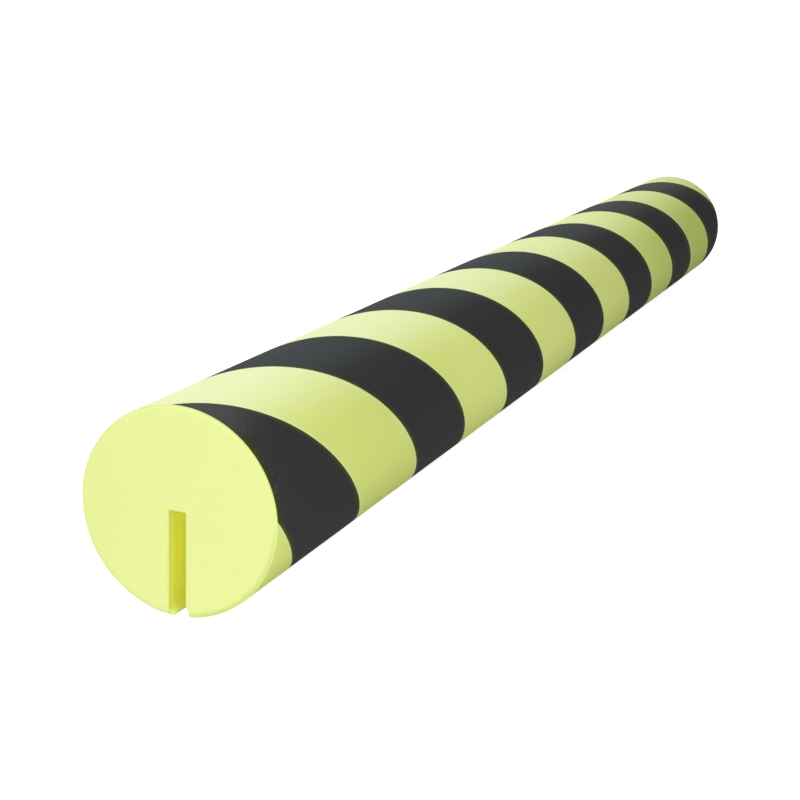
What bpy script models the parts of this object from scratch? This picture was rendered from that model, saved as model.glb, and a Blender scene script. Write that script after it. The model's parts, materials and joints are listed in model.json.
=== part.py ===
"""Foam impact protector: a round guard of soft foam with a slot that grips a panel's edge.

The guard is one piece. Its cross-section is drawn as seen from the near end with the slot pointing down.
It lies along Y on the two lips of the slot, which is how it comes to rest on a table: the lips aren't
alike, so the body is rolled a little until both touch the table.

The warning stripes are printed on the skin as one flat film would be: the outline is unrolled into a flat
sheet, the sheet is cut along straight leaning lines, the strips between the lines are coloured in turn,
and the sheet is wrapped back onto the section. The straight lines become helices round the guard.
"""

import math
from bisect import bisect_right
from itertools import pairwise

import bmesh
import bpy
from mathutils import Vector

# Driving dimensions, in metres and radians

DIAMETER = 0.040  # across the round foam body
LENGTH = 0.400  # from one cut end to the other

SLOT_WIDTH = 0.0035  # between the two flat walls that grip the panel
SLOT_DEPTH = 0.0202  # from the bottom of the circle up to the flat root

LEFT_LIP_REACH = 0.0012  # how far the left lip hooks into the slot
LEFT_LIP_HEIGHT = 0.0008  # how far above its tip the hook starts
RIGHT_LIP_SETBACK = 0.0007  # how far the right lip rolls back from its wall
RIGHT_LIP_HEIGHT = 0.0023  # how far above its tip the roll starts

END_EDGE_RADIUS = 0.0002  # the slightly rounded edge all round each cut end, left bare of print

STRIPE_LEAN = math.radians(45)  # between a stripe's edge and a circle round the guard
STRIPE_STARTS = 2  # pairs of stripes met on one trip round the guard
BLACK_SHARE = 0.5  # of each pair of stripes
STRIPE_SHIFT = 0.0330  # from the near end to the first black edge, along the slot's centre line

# Fineness of the curves

SKIN_FACETS = 96  # from lip to lip
LIP_FACETS = 4  # round the right lip's roll
END_EDGE_FACETS = 2  # across the rounded edge of a cut end
SNAP = 1e-6  # two points closer than this are one point

# Colours, roughness and metallic value of the two surfaces

FOAM_YELLOW = (0.62, 0.71, 0.10, 1.0)
PRINT_BLACK = (0.018, 0.020, 0.019, 1.0)
FOAM_ROUGHNESS = 0.62
PRINT_ROUGHNESS = 0.48
METALLIC = 0.0

# Worked out from the driving dimensions

RADIUS = DIAMETER / 2
ROOT_Z = SLOT_DEPTH - RADIUS
LEFT_WALL_X = -SLOT_WIDTH / 2
RIGHT_WALL_X = SLOT_WIDTH / 2
LEFT_TIP_X = LEFT_WALL_X + LEFT_LIP_REACH
RIGHT_TIP_X = RIGHT_WALL_X + RIGHT_LIP_SETBACK

STRIPE_PITCH = math.pi * DIAMETER * math.tan(STRIPE_LEAN) / STRIPE_STARTS
BLACK_WIDTH = STRIPE_PITCH * BLACK_SHARE


def angle_at(x):
    """The angle from the bottom of the circle towards +X of the lower point at x."""
    return math.asin(x / RADIUS)


def on_circle(angle):
    """The point (x, z) of the circle at an angle from its bottom towards +X."""
    return Vector((math.sin(angle), -math.cos(angle))) * RADIUS


FIRST_ANGLE = angle_at(RIGHT_TIP_X)
LAST_ANGLE = angle_at(LEFT_TIP_X) + math.tau
REST_ROLL = (FIRST_ANGLE + LAST_ANGLE - math.tau) / 2  # turns the middle of the mouth straight down
REST_HEIGHT = RADIUS * math.cos((FIRST_ANGLE - LAST_ANGLE + math.tau) / 2)  # axis above the table


# The cross-section


def right_lip():
    """Points (x, z) down the right wall's foot, where the lip rolls back in a quarter of a sine wave."""
    tip = on_circle(FIRST_ANGLE)
    points = []
    for step in range(LIP_FACETS):
        part = step / LIP_FACETS
        x = RIGHT_WALL_X + RIGHT_LIP_SETBACK * math.sin(part * math.pi / 2)
        points.append(Vector((x, tip.y + RIGHT_LIP_HEIGHT * (1 - part))))
    return points


def skin_angles():
    """The angles of the skin's points, from the right lip's tip over the top to the left lip's tip."""
    turn = (LAST_ANGLE - FIRST_ANGLE) / SKIN_FACETS
    return [FIRST_ANGLE + turn * step for step in range(SKIN_FACETS + 1)]


def outline():
    """The whole section from the root's right corner back to it, and which points are the skin's."""
    left_tip = on_circle(LAST_ANGLE)
    slot_right = [Vector((RIGHT_WALL_X, ROOT_Z)), *right_lip()]
    skin = [on_circle(angle) for angle in skin_angles()]
    slot_left = [
        Vector((LEFT_WALL_X, left_tip.y + LEFT_LIP_HEIGHT)),
        Vector((LEFT_WALL_X, ROOT_Z)),
        Vector((RIGHT_WALL_X, ROOT_Z)),
    ]
    first = len(slot_right)
    return slot_right + skin + slot_left, first, first + SKIN_FACETS


def unrolled(points, first, last):
    """Each point's place across the flat sheet, which is true arc length on the skin."""
    places = [0.0] * len(points)
    places[first : last + 1] = [RADIUS * angle for angle in skin_angles()]
    for i in reversed(range(first)):
        places[i] = places[i + 1] - (points[i + 1] - points[i]).length
    for i in range(last + 1, len(points)):
        places[i] = places[i - 1] + (points[i] - points[i - 1]).length
    return places


def inward(points):
    """For each point, the step that moves both its edges one unit into the foam."""
    ring = points[:-1]
    steps = []
    for i, here in enumerate(ring):
        before = (here - ring[i - 1]).normalized()
        after = (ring[(i + 1) % len(ring)] - here).normalized()
        normals = Vector((-before.y, before.x)), Vector((-after.y, after.x))
        steps.append((normals[0] + normals[1]) / (1 + normals[0].dot(normals[1])))
    return [*steps, steps[0]]


# The flat sheet


def end_edge_rows():
    """Rows over a cut end's rounded edge: place along the sheet, distance from the end, inset."""
    rows = []
    for step in range(END_EDGE_FACETS + 1):
        angle = math.pi / 2 * step / END_EDGE_FACETS
        along = END_EDGE_RADIUS * (1 - math.pi / 2 + angle)
        depth = END_EDGE_RADIUS * (1 - math.cos(angle))
        rows.append((along, depth, END_EDGE_RADIUS * (1 - math.sin(angle))))
    return rows


def sheet_rows():
    """All rows from the near end to the far end."""
    near = end_edge_rows()
    far = [(LENGTH - along, LENGTH - depth, inset) for along, depth, inset in reversed(near)]
    return near + far


def flat_sheet(bm, places, rows):
    """A flat grid of quads: X is the place across, Y the place along."""
    grid = [[bm.verts.new((x, along, 0)) for x in places] for along, _, _ in rows]
    for near, far in pairwise(grid):
        for i in range(len(places) - 1):
            bm.faces.new((near[i], near[i + 1], far[i + 1], far[i]))


def takes_print(face, left, right):
    """Whether a face of the sheet lies on the skin, clear of the rounded edges of the cut ends."""
    middle = face.calc_center_median()
    return left < middle.x < right and END_EDGE_RADIUS < middle.y < LENGTH - END_EDGE_RADIUS


def cut_stripes(bm, left, right):
    """Cuts the skin's part of the sheet along both edges of every black stripe."""
    rise = math.tan(STRIPE_LEAN)
    farthest = LENGTH + right * rise
    edge = STRIPE_SHIFT - STRIPE_PITCH
    while edge < farthest:
        for start in (edge, edge + BLACK_WIDTH):
            faces = [f for f in bm.faces if takes_print(f, left, right)]
            edges = {e for f in faces for e in f.edges}
            verts = {v for f in faces for v in f.verts}
            bmesh.ops.bisect_plane(
                bm,
                geom=[*verts, *edges, *faces],
                dist=SNAP,
                plane_co=(0, start, 0),
                plane_no=(rise, 1, 0),
            )
        edge += STRIPE_PITCH


def colour_stripes(bm, left, right):
    """Gives the second material to the faces that lie in a black stripe."""
    rise = math.tan(STRIPE_LEAN)
    for face in bm.faces:
        middle = face.calc_center_median()
        phase = (middle.y + middle.x * rise - STRIPE_SHIFT) % STRIPE_PITCH
        black = takes_print(face, left, right) and phase < BLACK_WIDTH
        face.material_index = 1 if black else 0


# Wrapping the sheet onto the section


def between(value, stops):
    """The stop before a value, and how far the value is on the way to the next stop."""
    i = min(max(bisect_right(stops, value) - 1, 0), len(stops) - 2)
    return i, (value - stops[i]) / (stops[i + 1] - stops[i])


def wrap(bm, points, places, rows):
    """Moves every point of the sheet to its place on the solid, with facets kept flat."""
    steps = inward(points)
    stops = [row[0] for row in rows]
    for vert in bm.verts:
        row, part = between(vert.co.y, stops)
        depth = rows[row][1] + part * (rows[row + 1][1] - rows[row][1])
        inset = rows[row][2] + part * (rows[row + 1][2] - rows[row][2])
        i, part = between(vert.co.x, places)
        outer = points[i].lerp(points[i + 1], part)
        step = steps[i].lerp(steps[i + 1], part)
        spot = outer + step * inset
        vert.co = (spot.x, depth - LENGTH / 2, spot.y)


def close_ends(bm):
    """Joins the sheet's two long edges at the slot's root, and fills the two cut ends."""
    bmesh.ops.remove_doubles(bm, verts=bm.verts[:], dist=SNAP)
    rim = [e for e in bm.edges if e.is_boundary]
    bmesh.ops.holes_fill(bm, edges=rim, sides=0)
    bmesh.ops.recalc_face_normals(bm, faces=bm.faces[:])


# Materials and the object


def material(name, colour, roughness):
    """A plain Principled material."""
    made = bpy.data.materials.new(name)
    made.use_nodes = True
    made.diffuse_color = colour
    shader = made.node_tree.nodes["Principled BSDF"]
    shader.inputs["Base Color"].default_value = colour
    shader.inputs["Roughness"].default_value = roughness
    shader.inputs["Metallic"].default_value = METALLIC
    return made


def foam_body():
    """The guard: one closed foam solid with its print, lying on the lips of its slot."""
    points, first, last = outline()
    places = unrolled(points, first, last)
    rows = sheet_rows()
    bm = bmesh.new()
    flat_sheet(bm, places, rows)
    cut_stripes(bm, places[first], places[last])
    colour_stripes(bm, places[first], places[last])
    wrap(bm, points, places, rows)
    close_ends(bm)

    mesh = bpy.data.meshes.new("foam_body")
    bm.to_mesh(mesh)
    bm.free()
    mesh.materials.append(material("yellow_foam", FOAM_YELLOW, FOAM_ROUGHNESS))
    mesh.materials.append(material("black_print", PRINT_BLACK, PRINT_ROUGHNESS))
    mesh.shade_smooth()
    mesh.set_sharp_from_angle(angle=math.radians(20))

    body = bpy.data.objects.new("foam_body", mesh)
    body.rotation_euler = (0, REST_ROLL, 0)
    body.location = (0, 0, REST_HEIGHT)
    bpy.context.collection.objects.link(body)
    return body


for old in list(bpy.data.objects):
    bpy.data.objects.remove(old, do_unlink=True)

foam_body()
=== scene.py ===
# %% [markdown]
# # A foam impact protector, from a bare cylinder to its finish
#
# The object is a round guard of soft foam, pushed onto the edge of a panel so that nobody gets hurt on it.
# It is one piece: a luminous yellow bar, a slot that takes the panel, and black warning stripes on the skin.
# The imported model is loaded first. It is the fixed frame that every size and place below is read from.

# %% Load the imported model
import json
import math

import bpy
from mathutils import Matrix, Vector


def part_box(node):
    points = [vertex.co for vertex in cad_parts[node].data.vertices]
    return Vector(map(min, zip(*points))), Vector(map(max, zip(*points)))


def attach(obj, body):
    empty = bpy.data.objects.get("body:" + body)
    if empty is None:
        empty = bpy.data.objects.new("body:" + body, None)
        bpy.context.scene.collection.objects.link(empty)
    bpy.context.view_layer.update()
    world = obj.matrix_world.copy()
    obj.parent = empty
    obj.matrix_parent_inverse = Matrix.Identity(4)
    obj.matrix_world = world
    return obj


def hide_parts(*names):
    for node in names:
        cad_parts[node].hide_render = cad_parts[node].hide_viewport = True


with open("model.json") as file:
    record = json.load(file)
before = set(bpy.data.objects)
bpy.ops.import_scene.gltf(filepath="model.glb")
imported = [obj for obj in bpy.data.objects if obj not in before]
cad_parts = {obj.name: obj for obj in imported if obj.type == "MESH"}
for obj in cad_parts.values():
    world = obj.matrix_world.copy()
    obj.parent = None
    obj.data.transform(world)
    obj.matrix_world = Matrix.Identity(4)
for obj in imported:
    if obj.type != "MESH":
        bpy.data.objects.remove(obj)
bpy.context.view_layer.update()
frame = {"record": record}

# %% [markdown]
# ## The camera
#
# The photograph looks along the guard from a little above, with the near cut end close and the far end small.
# That strong shrinking comes from standing near the object, so the place of the camera matters more than its
# lens. Place, turn and lens were found together by laying the outline and both end circles over the photo.

# %% Camera
SENSOR = 36.0  # millimetres across the square picture
LENS = 72.541  # millimetres
CAMERA_PLACE = (0.14063, -0.44191, 0.10924)
CAMERA_TURN = (76.066, 0.4116, 21.7938)  # degrees about X, Y and Z


def add_camera():
    """The camera at the photograph's viewing angle."""
    turn = [math.radians(angle) for angle in CAMERA_TURN]
    bpy.ops.object.camera_add(location=CAMERA_PLACE, rotation=turn)
    camera = bpy.context.object
    camera.name = "camera"
    camera.data.sensor_width = SENSOR
    camera.data.lens = LENS
    bpy.context.scene.camera = camera
    return camera


print("camera at", [round(v, 3) for v in add_camera().location])

# %% [markdown]
# ## Sizes from the frame
#
# The guard lies on the two lips of its slot. The lips aren't alike, so the whole section is rolled a little.
# Modelling a rolled section is awkward. The usual way round that is to model it upright, with the axis of
# the bar at the origin and the slot straight down, and to roll it into place at the very end.

# %% Sizes
MM = 0.001
DIAMETER = 40 * MM
SLOT_DEPTH = 20.2 * MM
LEFT_LIP_REACH = 1.2 * MM  # how far the left lip hooks into the slot
LEFT_LIP_HEIGHT = 0.8 * MM
RIGHT_LIP_SETBACK = 0.7 * MM  # how far the right lip rolls back from its wall
RIGHT_LIP_HEIGHT = 2.3 * MM

RADIUS = DIAMETER / 2
ROOT_HEIGHT = SLOT_DEPTH - RADIUS  # above the axis

mounts = {m["name"]: m for m in frame["record"]["mounts"]}
slot_down = Vector(mounts["slot_root"]["axis"])
slot_across = Vector(mounts["slot_left_wall"]["axis"])
wall_to_wall = Vector(mounts["slot_right_wall"]["pos_m"]) - Vector(mounts["slot_left_wall"]["pos_m"])
SLOT_WIDTH = wall_to_wall.dot(slot_across)
AXIS_PLACE = Vector(mounts["slot_root"]["pos_m"]) + slot_down * ROOT_HEIGHT
ROLL = math.atan2(-slot_down.x, -slot_down.z)

body_low, body_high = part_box("foam_body")
LENGTH = body_high.y - body_low.y
print(f"length {LENGTH:.4f}, slot {SLOT_WIDTH * 1000:.2f} mm wide, roll {math.degrees(ROLL):.2f} degrees")

# %% [markdown]
# ## The round bar
#
# The bar starts as a cylinder primitive and gets its cut ends first, while it is still round all over.
# A cut end isn't a knife-sharp disc. The skin holds the rim back while the soft middle swells a hair past it,
# so the last millimetre rolls away. An inset draws that ring, and its depth lifts the middle.

# %% Bar
SIDES = 240  # a facet every 0.5 mm
RIM_WIDTH = 0.85 * MM
RIM_DROP = 0.07 * MM


def start_fresh():
    """Nothing selected, so that an operator acts on the new piece alone."""
    bpy.ops.object.select_all(action="DESELECT")


def pick_faces(piece, wanted):
    """In edit mode, selects the faces for which wanted(face) is true, and returns how many they are."""
    bpy.ops.mesh.select_mode(type="FACE")
    bpy.ops.mesh.select_all(action="DESELECT")
    bpy.ops.object.mode_set(mode="OBJECT")
    found = [face for face in piece.data.polygons if wanted(face)]
    for face in found:
        face.select = True
    bpy.ops.object.mode_set(mode="EDIT")
    return len(found)


def add_bar():
    """A closed round bar along Y with both ends rolled at the rim."""
    start_fresh()
    along_y = (math.pi / 2, 0, 0)
    full = LENGTH - 2 * RIM_DROP
    bpy.ops.mesh.primitive_cylinder_add(vertices=SIDES, radius=RADIUS, depth=full, rotation=along_y)
    bar = bpy.context.object
    bar.name = "foam_guard"
    bar.data.name = "foam_guard"
    bpy.ops.object.transform_apply(location=True, rotation=True, scale=True)
    bpy.ops.object.mode_set(mode="EDIT")
    ends = pick_faces(bar, lambda face: abs(face.normal.y) > 0.5)
    bpy.ops.mesh.inset(thickness=RIM_WIDTH, depth=RIM_DROP, use_individual=True)
    bpy.ops.object.mode_set(mode="OBJECT")
    print(ends, "ends,", len(bar.data.polygons), "faces")
    return bar


guard = add_bar()

# %% [markdown]
# ## The slot
#
# The slot could be drawn into the profile, but a modeller sees it as the factory does: something taken away.
# So a cutter is modelled and subtracted. Its upper part is a plain block with the slot's two flat walls.
# Its foot is extruded downwards level by level. The left side steps inwards there to leave the hooked lip
# standing, and the right side swings out to leave the other lip rolled back.

# %% Cutter for the slot
LIP_LEVELS = 10
FLAT_ENOUGH = math.radians(0.3)  # lines between faces this flat are dissolved
CUTTER_FOOT = -RADIUS - 3 * MM
CUTTER_SPARE = 5 * MM  # how far the cutter runs past each cut end
LEFT_TIP_X = LEFT_LIP_REACH - SLOT_WIDTH / 2
RIGHT_TIP_X = RIGHT_LIP_SETBACK + SLOT_WIDTH / 2


def height_on_circle(x):
    """The height of the round skin's lower point at x."""
    return -math.sqrt(RADIUS**2 - x**2)


LEFT_LIP_TOP = height_on_circle(LEFT_TIP_X) + LEFT_LIP_HEIGHT
RIGHT_LIP_TOP = height_on_circle(RIGHT_TIP_X) + RIGHT_LIP_HEIGHT


def share(value):
    """A value held between 0 and 1."""
    return min(max(value, 0), 1)


def slot_sides(height):
    """The slot's left and right side at a height. The right lip is a quarter of a sine wave."""
    left = LEFT_LIP_REACH * share((LEFT_LIP_TOP - height) / LEFT_LIP_HEIGHT)
    right = math.sin(share((RIGHT_LIP_TOP - height) / RIGHT_LIP_HEIGHT) * math.pi / 2)
    return left - SLOT_WIDTH / 2, right * RIGHT_LIP_SETBACK + SLOT_WIDTH / 2


def cutter_levels():
    """The heights of the foot's levels, from the start of the right lip down past the skin."""
    tip = height_on_circle(RIGHT_TIP_X)
    step = RIGHT_LIP_HEIGHT / LIP_LEVELS
    levels = [RIGHT_LIP_TOP - step * i for i in range(1, LIP_LEVELS + 1)]
    levels += [LEFT_LIP_TOP, min(tip, height_on_circle(LEFT_TIP_X)), CUTTER_FOOT]
    return sorted(levels, reverse=True)


def slide_foot(cutter, height, side, step):
    """Moves one long edge of the cutter's foot sideways."""
    bpy.ops.mesh.select_mode(type="VERT")
    bpy.ops.mesh.select_all(action="DESELECT")
    bpy.ops.object.mode_set(mode="OBJECT")
    for vert in cutter.data.vertices:
        vert.select = abs(vert.co.z - height) < 0.01 * MM and vert.co.x * side > 0.3 * MM
    bpy.ops.object.mode_set(mode="EDIT")
    bpy.ops.mesh.select_mode(type="VERT")
    bpy.ops.transform.translate(value=(step, 0, 0))


def add_cutter():
    """The block that is taken out of the bar."""
    start_fresh()
    size = (SLOT_WIDTH, LENGTH + 2 * CUTTER_SPARE, ROOT_HEIGHT - RIGHT_LIP_TOP)
    middle = (ROOT_HEIGHT + RIGHT_LIP_TOP) / 2
    bpy.ops.mesh.primitive_cube_add(size=1, location=(0, 0, middle), scale=size)
    cutter = bpy.context.object
    bpy.ops.object.transform_apply(location=True, rotation=True, scale=True)
    bpy.ops.object.mode_set(mode="EDIT")
    height = RIGHT_LIP_TOP
    left, right = slot_sides(height)
    for level in cutter_levels():
        foot = height
        pick_faces(cutter, lambda face, z=foot: abs(face.center.z - z) < 0.001 * MM and face.normal.z < -0.9)
        bpy.ops.mesh.extrude_region_move(TRANSFORM_OT_translate={"value": (0, 0, level - height)})
        next_left, next_right = slot_sides(level)
        slide_foot(cutter, level, -1, next_left - left)
        slide_foot(cutter, level, 1, next_right - right)
        height, left, right = level, next_left, next_right
    bpy.ops.mesh.select_all(action="SELECT")
    bpy.ops.mesh.dissolve_limited(angle_limit=FLAT_ENOUGH)
    bpy.ops.object.mode_set(mode="OBJECT")
    return cutter


def take_away(piece, cutter):
    """Subtracts the cutter from the piece and deletes it."""
    start_fresh()
    piece.select_set(True)
    bpy.context.view_layer.objects.active = piece
    bpy.ops.object.modifier_add(type="BOOLEAN")
    cut = piece.modifiers[-1]
    cut.operation = "DIFFERENCE"
    cut.solver = "EXACT"
    cut.object = cutter
    bpy.ops.object.modifier_apply(modifier=cut.name)
    bpy.data.objects.remove(cutter, do_unlink=True)


take_away(guard, add_cutter())
print("faces with the slot cut:", len(guard.data.polygons))

# %% [markdown]
# ## Three kinds of surface
#
# The moulded skin is smooth and carries the print. The two cut ends show the foam's cells. The slot's walls
# were cut by a blade running along the guard. Each kind gets a material slot of its own now, while its faces
# are still easy to tell apart. The materials themselves are wired further down.

# %% Sort the faces
SKIN, CUT_END, SLOT_WALL = 0, 1, 2


def bare_material(name):
    """An empty material with nodes, to be wired later."""
    made = bpy.data.materials.new(name)
    made.use_nodes = True
    return made


def is_slot_wall(face):
    """Whether a face is one of the slot's walls, its root or a lip's inner side."""
    across = abs(face.center.x) < RIGHT_TIP_X
    inside = math.hypot(face.center.x, face.center.z) < RADIUS - 0.02 * MM
    return abs(face.normal.y) < 0.5 and across and inside


def give_slot(piece, index, wanted):
    """Assigns a material slot to the faces that are wanted."""
    bpy.ops.object.mode_set(mode="EDIT")
    count = pick_faces(piece, wanted)
    piece.active_material_index = index
    bpy.ops.object.material_slot_assign()
    bpy.ops.object.mode_set(mode="OBJECT")
    return count


for name in ("printed_skin", "cut_foam", "slot_foam"):
    guard.data.materials.append(bare_material(name))
print("cut end faces:", give_slot(guard, CUT_END, lambda face: abs(face.normal.y) > 0.5))
print("slot faces:", give_slot(guard, SLOT_WALL, is_slot_wall))

# %% [markdown]
# ## Soft edges
#
# Foam has no truly sharp edge. A small bevel rounds every rim, lip and corner, and its new faces are bare
# foam, so the print stops just short of the end, as it does on the real one. Only the new faces deep in the
# slot go back to the slot's finish. Then the long facets are cut into short rings, which give the next step
# points to move.

# %% Round the edges and cut the rings
EDGE_RADIUS = 0.13 * MM
EDGE_SEGMENTS = 3
SHARP = math.radians(35)
RING_LENGTH = 4 * MM
RING_CLEARANCE = 1.5 * MM  # the rings keep off the rolled ends


def apply_modifier(piece, kind, **settings):
    """Adds a modifier, sets it and applies it."""
    start_fresh()
    piece.select_set(True)
    bpy.context.view_layer.objects.active = piece
    bpy.ops.object.modifier_add(type=kind)
    modifier = piece.modifiers[-1]
    for name, value in settings.items():
        setattr(modifier, name, value)
    bpy.ops.object.modifier_apply(modifier=modifier.name)


def is_inner_edge(face):
    """Whether a face lies deep in the slot, clear of the lips' tips and of the cut ends."""
    deep = math.hypot(face.center.x, face.center.z) < RADIUS - 2 * EDGE_RADIUS
    return is_slot_wall(face) and deep and abs(face.center.y) < LENGTH / 2 - RIM_WIDTH


def cut_rings(piece):
    """Cuts the long faces at even distances along the guard."""
    reach = LENGTH / 2 - RIM_DROP - RING_CLEARANCE
    count = round(2 * reach / RING_LENGTH)
    bpy.ops.object.mode_set(mode="EDIT")
    for i in range(count + 1):
        bpy.ops.mesh.select_all(action="SELECT")
        place = -reach + 2 * reach * i / count
        bpy.ops.mesh.bisect(plane_co=(0, place, 0), plane_no=(0, 1, 0))
    bpy.ops.object.mode_set(mode="OBJECT")


apply_modifier(
    guard,
    "BEVEL",
    width=EDGE_RADIUS,
    segments=EDGE_SEGMENTS,
    limit_method="ANGLE",
    angle_limit=SHARP,
    material=CUT_END,
)
print("faces deep in the slot:", give_slot(guard, SLOT_WALL, is_inner_edge))
cut_rings(guard)
print("faces with soft edges and rings:", len(guard.data.polygons))

# %% [markdown]
# ## Not quite straight
#
# Foam comes out of its mould a little uneven, and it gives where it lies. A Displace modifier with a slow
# cloud pattern moves the skin by a few hundredths of a millimetre, which is only seen where light skims along
# it. Weighted normals then keep the flat faces flat in the shading, beside their round edges.

# %% Unevenness, normals and place
UNEVEN = 0.07 * MM
UNEVEN_SIZE = 28 * MM
WELD = 0.003 * MM
SMOOTH_UP_TO = math.radians(30)


def settle(piece):
    """Moves the skin a little, merges stray points and sets the shading."""
    clouds = bpy.data.textures.new("slow_unevenness", "CLOUDS")
    clouds.noise_scale = UNEVEN_SIZE
    clouds.noise_depth = 1
    apply_modifier(piece, "DISPLACE", texture=clouds, strength=UNEVEN, mid_level=0.5, texture_coords="LOCAL")
    bpy.ops.object.mode_set(mode="EDIT")
    bpy.ops.mesh.select_all(action="SELECT")
    bpy.ops.mesh.remove_doubles(threshold=WELD)
    bpy.ops.mesh.normals_make_consistent(inside=False)
    bpy.ops.object.mode_set(mode="OBJECT")
    bpy.ops.object.shade_smooth_by_angle(angle=SMOOTH_UP_TO)
    apply_modifier(piece, "WEIGHTED_NORMAL", keep_sharp=True)


def roll_into_place(piece):
    """Turns the upright section so that both lips touch the table, and lifts it there."""
    start_fresh()
    piece.select_set(True)
    bpy.context.view_layer.objects.active = piece
    piece.rotation_euler = (0, ROLL, 0)
    piece.location = AXIS_PLACE
    bpy.ops.object.transform_apply(location=True, rotation=True, scale=True)


settle(guard)
roll_into_place(guard)
print("lowest point", round(min(v.co.z for v in guard.data.vertices) * 1000, 3), "mm above the table")

# %% [markdown]
# ## Wiring finishes in plain arithmetic
#
# A pattern such as a helix is a formula, and a formula made of dozens of Math nodes is hard to read. So one
# small class stands for an output of a node. Adding or multiplying two of them makes the Math node that does
# it, and the finishes below read like the sums they are. A second class makes every other node.

# %% Sockets that can be reckoned with
MIX_FACTOR, MIX_A, MIX_B, MIX_RESULT = 0, 6, 7, 2  # the Mix node's colour sockets


class Wire:
    """An output of a node. Arithmetic on it adds Math nodes."""

    def __init__(self, board, socket):
        self.board = board
        self.socket = socket

    def out(self, name):
        """Another output of the same node."""
        return Wire(self.board, self.socket.node.outputs[name])

    def math(self, operation, *others):
        return self.board.sum(operation, self, *others)

    def __add__(self, other):
        return self.math("ADD", other)

    def __sub__(self, other):
        return self.math("SUBTRACT", other)

    def __rsub__(self, other):
        return self.board.sum("SUBTRACT", other, self)

    def __mul__(self, other):
        return self.math("MULTIPLY", other)

    def __neg__(self):
        return self.math("MULTIPLY", -1)


class Board:
    """A node tree that is being wired."""

    def __init__(self, tree):
        self.tree = tree
        tree.nodes.clear()

    def node(self, kind, settings=(), inputs=(), output=0):
        """A new node: its settings first, then its sockets' values or links."""
        made = self.tree.nodes.new(kind)
        for name, value in dict(settings).items():
            setattr(made, name, value)
        for name, value in dict(inputs).items():
            if isinstance(value, Wire):
                self.tree.links.new(value.socket, made.inputs[name])
            else:
                made.inputs[name].default_value = value
        return Wire(self, made.outputs[output]) if made.outputs else None

    def sum(self, operation, *values):
        """A Math node over wires and numbers."""
        return self.node("ShaderNodeMath", {"operation": operation}, dict(enumerate(values)))

    def ramp(self, value, start, end, low=0.0, high=1.0):
        """A smooth step from low to high while value goes from start to end."""
        inputs = {"Value": value, "From Min": start, "From Max": end, "To Min": low, "To Max": high}
        return self.node("ShaderNodeMapRange", {"interpolation_type": "SMOOTHSTEP"}, inputs)

    def blend(self, factor, first, second):
        """A colour that goes from the first to the second with the factor."""
        inputs = {MIX_FACTOR: factor, MIX_A: first, MIX_B: second}
        return self.node("ShaderNodeMix", {"data_type": "RGBA"}, inputs, MIX_RESULT)

    def noise(self, place, size, detail=2.0, stretch=None):
        """Soft noise from 0 to 1 whose lumps are about size across, longer where stretched."""
        if stretch:
            place = self.node("ShaderNodeVectorMath", {"operation": "DIVIDE"}, {0: place, 1: stretch})
        inputs = {"Vector": place, "Scale": 1 / size, "Detail": detail}
        return self.node("ShaderNodeTexNoise", {}, inputs)

    def relief(self, height, depth):
        """A bump whose full height is depth metres."""
        inputs = {"Strength": 1.0, "Distance": depth, "Height": height}
        return self.node("ShaderNodeBump", {}, inputs)

    def surface(self, shader):
        """Ends the tree of a material."""
        self.node("ShaderNodeOutputMaterial", {}, {"Surface": shader})


def rgb(red, green, blue):
    """A colour as the shader's sockets take it."""
    return (red, green, blue, 1.0)


def upright(board):
    """Where a point lies in the upright section: X across the slot, Y along the guard, Z up."""
    place = board.node("ShaderNodeTexCoord", output="Object")
    inputs = {"Vector": place, "Location": AXIS_PLACE, "Rotation": (0, ROLL, 0)}
    return board.node("ShaderNodeMapping", {"vector_type": "TEXTURE"}, inputs)


print("a Mapping node turns patterns by", round(math.degrees(ROLL), 2), "degrees")

# %% [markdown]
# ## The printed skin
#
# The print is applied flat and wraps round the guard, so its straight stripes turn into helices. Unrolling
# the skin in the shader gives them back: the distance along plus the arc round the guard is the same number
# all along one edge of a stripe. Two pairs of stripes fit on one turn, so the pattern closes without a seam.
#
# The yellow is painted paler in the middle of the length and greener at the far end, as painted light along
# the guard.
# Then the print gets its age. The ink is thin over the first millimetre of a stripe, so the yellow below
# turns it olive there. The skin right beside the ink is a little paler. Both lines are wider towards the far
# end. The top is painted paler on the yellow and greyer on the ink, as a painted highlight and sheen from the
# upper left, and dust lies on the ink near the handled ends.

# %% Printed skin
STRIPE_LEAN = math.radians(45)
STRIPE_STARTS = 2
STRIPE_SHIFT = 33.0 * MM  # from the near end to the first black edge, along the slot's centre line
PITCH = math.pi * DIAMETER * math.tan(STRIPE_LEAN) / STRIPE_STARTS
HALF_BLACK = PITCH / 4

# Painted light: the middle's yellow is paler and the far end's greener than the near end's, for how the light
# fell along the guard.
FOAM_NEAR = rgb(0.70, 0.78, 0.213)
FOAM_MIDDLE = rgb(0.81, 0.905, 0.280)
FOAM_FAR = rgb(0.635, 0.785, 0.185)
# Painted highlight: the top of the skin blends towards this paler yellow.
FOAM_PALE = rgb(0.79, 0.86, 0.49)
FOAM_EDGE = rgb(0.72, 0.80, 0.62)  # beside the ink
INK_BLACK = rgb(0.0325, 0.036, 0.0345)
# Painted sheen: the ink turns greyer towards the top.
INK_SHEEN = rgb(0.050, 0.0545, 0.055)
INK_OLIVE = rgb(0.060, 0.076, 0.008)  # where the ink is thin
INK_GREEN = rgb(0.037, 0.046, 0.012)  # beside a cut end
INK_VEILED = rgb(0.066, 0.070, 0.062)
INK_DUST = rgb(0.092, 0.10, 0.088)

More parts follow.
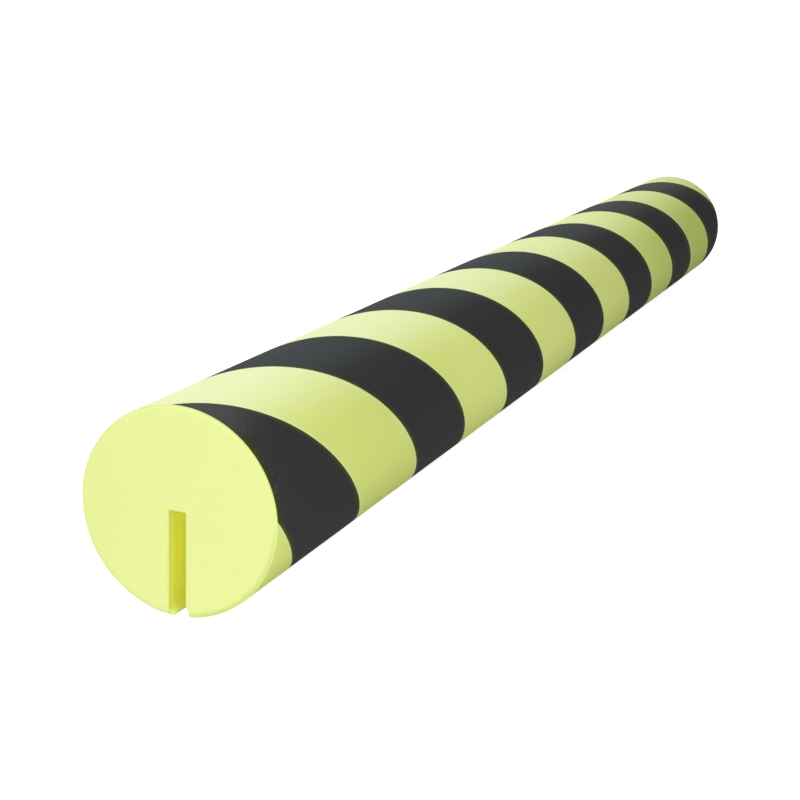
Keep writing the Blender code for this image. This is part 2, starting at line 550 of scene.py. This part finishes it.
PALER = (-150 * MM, -60 * MM)  # along the guard, from the near yellow to the middle's
GREENER = (30 * MM, 140 * MM)  # and from the middle's to the far end's
HIGHLIGHT_SIDE = (-0.34, 0, 0.94)  # the side whose painted highlight pales the top
HIGHLIGHT_START = 4 * MM  # from the axis towards that side, where the foam starts to be painted paler
HIGHLIGHT_FULL = 21 * MM  # where it is as pale as it gets
HIGHLIGHT_FALLOFF = (-110 * MM, 130 * MM)  # along the guard, from the full painted highlight to the far end's
FAR_HIGHLIGHT = 0.6
INK_SHEEN_START = 16 * MM  # above the axis, where the painted sheen starts to make the ink greyer

GRAIN = 0.35 * MM  # the size of the skin's fine grain
CLOUD = 9 * MM
CLOUD_PALING = 0.15  # how far the clouds shift the paling, at random
INK_WAVER = 0.05 * MM  # how far a printed edge strays
WAVER_LENGTH = 1.1 * MM
INK_CRISP = 0.05 * MM
INK_THIN = 1.3 * MM  # over which the ink gets to its full thickness
FAR_EDGE_INK = 0.4  # the least thickness at a stripe's far edge, as a share of the full one
RIM_THIN = 0.8 * INK_THIN
RIM_GREEN = 3.5 * MM  # from a cut end, over which the ink is a little green
PALE_LINE = 1.2 * MM  # of paler skin beside the ink
PALE_LEAST = 0.24
PALE_MORE = 0.08  # on the side of a stripe's far edge
FAR_SHARPNESS = 0.3  # what is left of both lines' sharpness at the far end

DUST_SPACING = 0.75 * MM
DUST_SIZE = 0.30  # of the spacing
DUST_LEAST = 0.05  # of the size, away from the clusters
CLUSTER = 3 * MM
HANDLED = 14 * MM  # from a cut end, over which dust gets rarer
DUST_START = 13.5 * MM  # above the axis, where dust starts to settle
VEIL_CLOUD = 4 * MM
VEIL_LEAST = 0.2  # how strong the veil's clouds are where no dust has settled


def stripes(board, place):
    """How deep a point lies in a black stripe, in metres, and how far over to the stripe's far edge."""
    across = board.node("ShaderNodeSeparateXYZ", {}, {"Vector": place})
    turn = board.sum("ARCTAN2", across, -across.out("Z"))
    wound = across.out("Y") + LENGTH / 2 + turn * (RADIUS * math.tan(STRIPE_LEAN)) - STRIPE_SHIFT
    from_middle = board.sum("PINGPONG", wound - HALF_BLACK, PITCH / 2)
    over = board.sum("PINGPONG", wound, PITCH / 2) * (2 / PITCH)
    return (HALF_BLACK - from_middle) * math.cos(STRIPE_LEAN), over


def along_of(board, place):
    """How far along the guard a point lies from its middle, in metres."""
    return board.node("ShaderNodeSeparateXYZ", {}, {"Vector": place}).out("Y")


def from_end(board, place):
    """How far a point lies from the nearer cut end, in metres."""
    return LENGTH / 2 - board.sum("ABSOLUTE", along_of(board, place))


def height_of(board, place):
    """How far a point lies above the axis, in metres."""
    return board.node("ShaderNodeSeparateXYZ", {}, {"Vector": place}).out("Z")


def painted_highlight(board, place):
    """How far the painted highlight pales the foam on top."""
    dot = {"operation": "DOT_PRODUCT"}
    towards = board.node("ShaderNodeVectorMath", dot, {0: place, 1: HIGHLIGHT_SIDE}, "Value")
    weaker = board.ramp(along_of(board, place), *HIGHLIGHT_FALLOFF, 1.0, FAR_HIGHLIGHT)
    return board.ramp(towards, HIGHLIGHT_START, HIGHLIGHT_FULL) * weaker


def foam_colour(board, place, cloud):
    """Yellow with painted light along the guard, paler in the middle and greener at the far end, and a
    painted highlight that pales the top.
    """
    along = along_of(board, place)
    along_light = board.blend(board.ramp(along, *PALER), FOAM_NEAR, FOAM_MIDDLE)
    along_light = board.blend(board.ramp(along, *GREENER), along_light, FOAM_FAR)
    return board.blend((cloud - 0.5) * CLOUD_PALING + painted_highlight(board, place), along_light, FOAM_PALE)


def ink_colour(board, place, rim, thick, over):
    """Black that is olive where the ink is thin, a little green beside a cut end and greyer on top with a
    painted sheen.
    """
    full = board.sum("MAXIMUM", board.ramp(thick, 0.0, INK_THIN), over * FAR_EDGE_INK)
    full = board.sum("MINIMUM", full, board.ramp(rim, 0.0, RIM_THIN))
    on_top = board.ramp(height_of(board, place), INK_SHEEN_START, RADIUS)
    greyed = board.blend(on_top, INK_BLACK, INK_SHEEN)
    return board.blend(full, INK_OLIVE, board.blend(board.ramp(rim, 0.0, RIM_GREEN), INK_GREEN, greyed))


def worn_ink(board, place, black, grain):
    """Ink with a veil of dust on top and clusters of small pale specks near the ends."""
    handled = board.ramp(from_end(board, place), 0.0, HANDLED, 1.0, 0.0)
    settled = board.ramp(height_of(board, place), DUST_START, RADIUS)
    veil = board.sum("MAXIMUM", board.noise(place, VEIL_CLOUD, 3.0) * VEIL_LEAST, settled)
    veiled = board.blend(handled * veil, black, INK_VEILED)
    cells = board.node("ShaderNodeTexVoronoi", {}, {"Vector": place, "Scale": 1 / DUST_SPACING})
    clusters = board.ramp(board.noise(place, CLUSTER, 3.0), 0.40, 0.60)
    size = (handled * handled * clusters + DUST_LEAST) * DUST_SIZE
    specks = board.ramp(size - cells + (grain - 0.5) * 0.5, 0.0, 0.5 * DUST_SIZE)
    return board.blend(specks, veiled, INK_DUST)


def wire_printed_skin(material):
    """Yellow foam skin and matt black ink, mixed by the stripes."""
    board = Board(material.node_tree)
    place = upright(board)
    grain = board.noise(place, GRAIN, 3.0)
    cloud = board.noise(place, CLOUD)
    waver = board.noise(place, WAVER_LENGTH)
    sharp = board.ramp(along_of(board, place), -LENGTH / 2, LENGTH / 2, 1.0, FAR_SHARPNESS)
    rim = from_end(board, place) - (EDGE_RADIUS - INK_CRISP)
    inside, over = stripes(board, place)
    depth = board.sum("MINIMUM", inside + (waver - 0.5) * (2 * INK_WAVER), rim)

    beside = board.ramp(depth * sharp, -PALE_LINE, -0.1 * PALE_LINE)
    pale_line = beside * (over * PALE_MORE + PALE_LEAST)
    yellow = board.node(
        "ShaderNodeBsdfPrincipled",
        {},
        {
            "Base Color": board.blend(pale_line, foam_colour(board, place, cloud), FOAM_EDGE),
            "Roughness": grain * 0.16 + 0.72,
            "Specular IOR Level": 0.02,
            "Sheen Weight": 0.05,
            "Sheen Roughness": 0.3,
            "Normal": board.relief(grain, 0.012 * MM),
        },
    )
    black = ink_colour(board, place, rim, inside * sharp, over)
    inked = board.node(
        "ShaderNodeBsdfPrincipled",
        {},
        {
            "Base Color": worn_ink(board, place, black, grain),
            "Roughness": cloud * 0.10 + grain * 0.12 + 0.64,
            "Specular IOR Level": 0.015,
            "Normal": board.relief(grain, 0.008 * MM),
        },
    )
    printed = board.ramp(depth, -INK_CRISP, INK_CRISP)
    board.surface(board.node("ShaderNodeMixShader", {}, {0: printed, 1: yellow, 2: inked}))


printed_skin, cut_foam, slot_foam = guard.data.materials
wire_printed_skin(printed_skin)
print("stripe pitch", round(PITCH * 1000, 2), "mm;", len(printed_skin.node_tree.nodes), "nodes")

# %% [markdown]
# ## Cut foam and the slot
#
# Where a blade has gone through, the foam shows its closed cells: shallow pits a third of a millimetre wide,
# each a little deeper in colour. The end is the palest surface of the guard. Its rim has painted shade,
# darker low at the right and along the skin on top. The slot's edges are yellower, the left one darker with
# painted shade and the right one paler with painted light, and the tips of the lips are dark with a painted
# shadow.
#
# The slot's walls are painted warmer, darker near a cut end and brighter deeper in, as painted light for
# light that has bounced from yellow to yellow before it comes out. The ledge of the left lip is painted paler
# and glows more, as painted light. Light also soaks through real foam, and a weak glow in the slot's open
# ends stands in for that.

# %% Cut foam and slot
END_YELLOW = rgb(0.83, 0.91, 0.345)
END_PIT = rgb(0.74, 0.83, 0.255)
# Painted shade on the rounded rim: darker low at the right, and along the skin on top.
END_LOW_SHADE = rgb(0.69, 0.79, 0.25)
END_TOP_RIM_SHADE = rgb(0.66, 0.74, 0.26)
# The slot's edges are yellower; the left one is darker with painted shade and the right one paler with
# painted light.
MOUTH_LEFT_SHADE = rgb(0.74, 0.81, 0.24)
MOUTH_RIGHT_LIGHT = rgb(0.91, 0.93, 0.25)
# Painted shadow: the lips' tips are dark where they rest on the table.
LIP_TIP_SHADOW = rgb(0.08, 0.085, 0.045)
# Painted light in the slot: the walls are darker near a cut end and a brighter yellow deeper in, and the left
# lip's ledge is paler.
WALL_FRONT = rgb(0.63, 0.67, 0.09)
WALL_DEEP = rgb(0.955, 0.965, 0.195)
WALL_DARK = rgb(0.0, 0.0, 0.0)
WALL_GLOW = rgb(0.66, 0.59, 0.045)
LIP_LIT = rgb(0.84, 0.91, 0.30)
LIP_GLOW = rgb(0.90, 0.90, 0.12)
CELL = 0.32 * MM
PITTED = 0.22  # how much of the deeper colour a pit takes
CLOUDED = 0.18
LOW_SHADE_SPOT = (14 * MM, -14 * MM)  # the middle of the rim's painted shade, low at the right
LOW_SHADE_REACH = (20 * MM, 9 * MM)  # from that spot, from no painted shade to full
LOW_SHADE_WIDTH = 1.2 * MM
TOP_RIM_SHADE = (0.35 * MM, 0.1 * MM)  # from the skin, the ring of painted shade on top
ON_TOP = (-4 * MM, 8 * MM)  # above the axis, over which that ring comes in
MOUTH_WIDTH = 0.30 * MM
TIP_SHADOW_REACH = 0.34 * MM  # round the tip of a lip
TIP_SHADOW_ALONG = (0.1 * MM, 2.5 * MM)  # from a cut end, over which the painted shadow on the lips gets to full strength
TIP_SHADOW_LEAST = 0.7
DEEP_FROM = 4 * MM  # from a cut end, where the slot's walls have their deep colour
SLOT_GLOW = 0.12
LIT_DEPTH = (12 * MM, 45 * MM)  # from a cut end, over which the glow in the slot dies away


def way_to(board, place, x, z):
    """How far a point lies from the line along the guard at x and z."""
    section = board.node("ShaderNodeVectorMath", {"operation": "MULTIPLY"}, {0: place, 1: (1, 0, 1)})
    distance = {"operation": "DISTANCE"}
    return board.node("ShaderNodeVectorMath", distance, {0: section, 1: (x, 0, z)}, "Value")


def rim_shade(board, place, foam):
    """Foam with painted shade on the rim, darker low at the right and along the skin's edge on top."""
    gap = RADIUS - way_to(board, place, 0, 0)
    near_spot = board.ramp(way_to(board, place, *LOW_SHADE_SPOT), *LOW_SHADE_REACH)
    shaded_low = board.blend(near_spot * board.ramp(gap, LOW_SHADE_WIDTH, 0.3 * LOW_SHADE_WIDTH), foam, END_LOW_SHADE)
    # Painted shade: the bevel along the skin on top is darker, where it would catch the lamps above.
    on_top = board.ramp(height_of(board, place), *ON_TOP)
    return board.blend(on_top * board.ramp(gap, *TOP_RIM_SHADE), shaded_low, END_TOP_RIM_SHADE)


def slot_mouth(board, place, foam):
    """Foam with the yellower edges of the slot, the left one darker with painted shade and the right one
    paler with painted light.
    """
    across = board.node("ShaderNodeSeparateXYZ", {}, {"Vector": place}).out("X")
    beside = board.sum("ABSOLUTE", across) - SLOT_WIDTH / 2
    under_root = board.ramp(height_of(board, place), ROOT_HEIGHT + 0.3 * MM, ROOT_HEIGHT)
    edge = board.blend(board.ramp(across, -1 * MM, 1 * MM), MOUTH_LEFT_SHADE, MOUTH_RIGHT_LIGHT)
    return board.blend(under_root * board.ramp(beside, MOUTH_WIDTH, 0.1 * MOUTH_WIDTH), foam, edge)


def wire_cut_foam(material):
    """The cut ends and the rounded edges, with painted shade at the rim and a painted shadow at the lips'
    tips.
    """
    board = Board(material.node_tree)
    place = upright(board)
    cells = board.node("ShaderNodeTexVoronoi", {}, {"Vector": place, "Scale": 1 / CELL})
    cloud = board.noise(place, 7 * MM)
    pits = board.ramp(cells, 0.50, 0.05) * PITTED + (cloud - 0.5) * CLOUDED
    foam = slot_mouth(board, place, board.blend(pits, END_YELLOW, END_PIT))
    tips = [way_to(board, place, x, height_on_circle(x)) for x in (LEFT_TIP_X, RIGHT_TIP_X)]
    # Painted shadow round the lips' tips, a little weaker at the cut ends.
    tip_shadow = board.ramp(board.sum("MINIMUM", *tips), TIP_SHADOW_REACH, 0.4 * TIP_SHADOW_REACH)
    along = board.ramp(from_end(board, place), *TIP_SHADOW_ALONG, TIP_SHADOW_LEAST, 1.0)
    shader = board.node(
        "ShaderNodeBsdfPrincipled",
        {},
        {
            "Base Color": board.blend(tip_shadow * along, rim_shade(board, place, foam), LIP_TIP_SHADOW),
            "Roughness": cells * 0.15 + 0.68,
            "Specular IOR Level": 0.25,
            "Normal": board.relief(cells, 0.012 * MM),
        },
    )
    board.surface(shader)


def wire_slot_foam(material):
    """The slot's walls, with the blade's fine lines along the guard, painted light deeper in and a paler,
    glowing ledge on the left lip.
    """
    board = Board(material.node_tree)
    place = upright(board)
    lines = board.noise(place, 0.4 * MM, stretch=(1, 30, 1))
    inwards = from_end(board, place)
    deep = board.ramp(inwards, 0.0, DEEP_FROM)
    wall = board.blend(deep + (lines - 0.5) * 0.2, WALL_FRONT, WALL_DEEP)
    # Painted light: the ledge of the left lip is paler and glows more.
    lip = board.ramp(height_of(board, place), LEFT_LIP_TOP + 0.3 * MM, LEFT_LIP_TOP - 0.5 * MM)
    glow = board.blend(lip, board.blend(deep, WALL_DARK, WALL_GLOW), LIP_GLOW)
    shader = board.node(
        "ShaderNodeBsdfPrincipled",
        {},
        {
            "Base Color": board.blend(lip, wall, LIP_LIT),
            "Roughness": lines * 0.15 + 0.62,
            "Specular IOR Level": 0.25,
            "Emission Color": board.blend(board.ramp(inwards, *LIT_DEPTH), glow, WALL_DARK),
            "Emission Strength": SLOT_GLOW,
            "Normal": board.relief(lines, 0.02 * MM),
        },
    )
    board.surface(shader)


wire_cut_foam(cut_foam)
wire_slot_foam(slot_foam)
print("three finishes wired on", guard.name)

# %% [markdown]
# ## Floor, background and light
#
# The studio is a white sweep. The floor and the world look white to the camera, to reflections and to glass,
# whatever light falls on them, and the floor still darkens a little under the guard. The light on the object
# comes from five soft boxes. A wide one in front lights the near end, and a small low one behind the far end.
# Another low one lifts the right flank. The strongest stands high at the left and makes the top brightest,
# with a weak one high at the right.

# %% Stage
FLOOR_SIZE = 3.0
FLOOR_PALE = rgb(0.60, 0.60, 0.60)
FLOOR_GLOW = 0.92
WORLD_FILL = 0.15

NEAR_END = (0, -0.20, 0.02)
MIDDLE = (0, -0.05, 0.02)
FAR_END = (0, 0.20, 0.02)
SOFTBOXES = {  # place, aim, width in metres and power in watts
    "front_box": ((0.45, -1.10, 0.20), NEAR_END, 0.5, 3.1),
    "low_box": ((0.40, -0.42, 0.075), NEAR_END, 0.14, 0.88),
    "left_box": ((-0.55, -0.35, 0.95), MIDDLE, 0.8, 11.2),
    "high_box": ((0.45, -0.25, 1.00), MIDDLE, 0.8, 2.3),
    "back_box": ((-0.10, 1.10, 0.07), FAR_END, 0.12, 2.4),
}


def seen(board):
    """1 for rays of the camera, of reflections and of glass, and 0 for the rays that carry light."""
    rays = board.node("ShaderNodeLightPath", output="Is Camera Ray")
    either = board.sum("MAXIMUM", rays, rays.out("Is Glossy Ray"))
    return board.sum("MAXIMUM", either, rays.out("Is Transmission Ray"))


def add_floor():
    """A white floor that glows for the camera and keeps a soft shadow."""
    start_fresh()
    bpy.ops.mesh.primitive_plane_add(size=FLOOR_SIZE)
    floor = bpy.context.object
    floor.name = "floor"
    material = bare_material("white_floor")
    board = Board(material.node_tree)
    plain = board.node("ShaderNodeBsdfDiffuse", {}, {"Color": FLOOR_PALE})
    glow = board.node("ShaderNodeEmission", {}, {"Color": rgb(1, 1, 1), "Strength": FLOOR_GLOW})
    both = board.node("ShaderNodeAddShader", {}, {0: plain, 1: glow})
    board.surface(board.node("ShaderNodeMixShader", {}, {0: seen(board), 1: plain, 2: both}))
    floor.data.materials.append(material)
    return floor


def add_world():
    """White where it is seen, and a weaker fill as light."""
    world = bpy.data.worlds.new("white_studio")
    world.use_nodes = True
    bpy.context.scene.world = world
    board = Board(world.node_tree)
    fill = board.node("ShaderNodeBackground", {}, {"Color": rgb(1, 1, 1), "Strength": WORLD_FILL})
    white = board.node("ShaderNodeBackground", {}, {"Color": rgb(1, 1, 1), "Strength": 1.0})
    both = board.node("ShaderNodeMixShader", {}, {0: seen(board), 1: fill, 2: white})
    board.node("ShaderNodeOutputWorld", {}, {"Surface": both})


def add_softbox(name, place, aim, size, power):
    """A square soft light at a place, turned to an aim."""
    start_fresh()
    way = Vector(aim) - Vector(place)
    turn = way.to_track_quat("-Z", "Y").to_euler()
    bpy.ops.object.light_add(type="AREA", location=place, rotation=turn)
    lamp = bpy.context.object
    lamp.name = name
    lamp.data.size = size
    lamp.data.energy = power
    lamp.visible_camera = False
    return lamp


add_floor()
add_world()
for name, settings in SOFTBOXES.items():
    add_softbox(name, *settings)
bpy.context.scene.view_settings.view_transform = "Standard"
print(len(SOFTBOXES), "soft boxes over a floor", FLOOR_SIZE, "m wide")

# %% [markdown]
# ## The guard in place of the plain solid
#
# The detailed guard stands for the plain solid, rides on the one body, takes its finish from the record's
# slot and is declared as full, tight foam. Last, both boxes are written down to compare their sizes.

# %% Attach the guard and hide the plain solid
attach(guard, "root")
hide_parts("foam_body")
